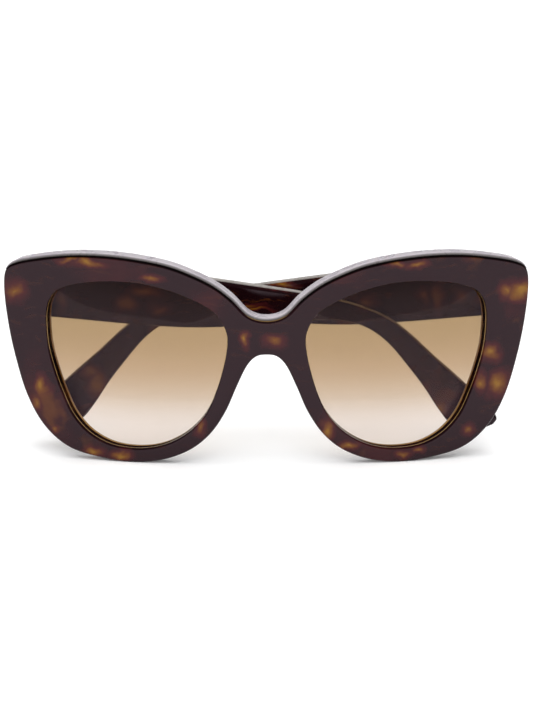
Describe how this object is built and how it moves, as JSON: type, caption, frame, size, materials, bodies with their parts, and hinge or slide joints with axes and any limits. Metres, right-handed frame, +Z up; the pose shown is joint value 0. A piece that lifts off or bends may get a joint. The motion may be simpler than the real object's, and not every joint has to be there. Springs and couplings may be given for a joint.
{
  "type": "cat eye sunglasses",
  "caption": "Cat eye sunglasses with a wrapped acetate front, pearl brow strip, gradient lenses and two temples that fold on screwed barrel hinges.",
  "frame": {"origin": "middle of the width and depth of the folded sunglasses, at the height of the lower rims", "axes": "+X to the wearer's left along the front, -Y the way the front faces, +Z up from the lower rims to the brow"},
  "size_m": [0.146, 0.0287, 0.0593],
  "materials": {
    "acetate": "polished",
    "pearl": "polished",
    "lens": "polished",
    "steel": "satin"
  },
  "bodies": {
    "front": {"front_frame": "acetate", "front_top_trim": "pearl", "lens_right": "lens", "lens_left": "lens", "nose_pad_right": "acetate", "nose_pad_left": "acetate", "front_hinge_right": "steel", "front_hinge_left": "steel", "hinge_screw_right": "steel", "hinge_screw_left": "steel"},
    "right_temple": {"temple_right": "acetate", "temple_top_trim_right": "pearl", "temple_hinge_right": "steel", "core_wire_right": "steel"},
    "left_temple": {"temple_left": "acetate", "temple_top_trim_left": "pearl", "temple_hinge_left": "steel", "core_wire_left": "steel"}
  },
  "joints": [
    {"name": "temple_right_fold", "type": "hinge", "parent": "front", "child": "right_temple", "pos_m": [-0.0673, 0.0057, 0.046], "axis": [0, 0, 1], "range_deg": [0, 92.3]},
    {"name": "temple_left_fold", "type": "hinge", "parent": "front", "child": "left_temple", "pos_m": [0.0673, 0.0057, 0.046], "axis": [0, 0, -1], "range_deg": [0, 88.4]}
  ]
}
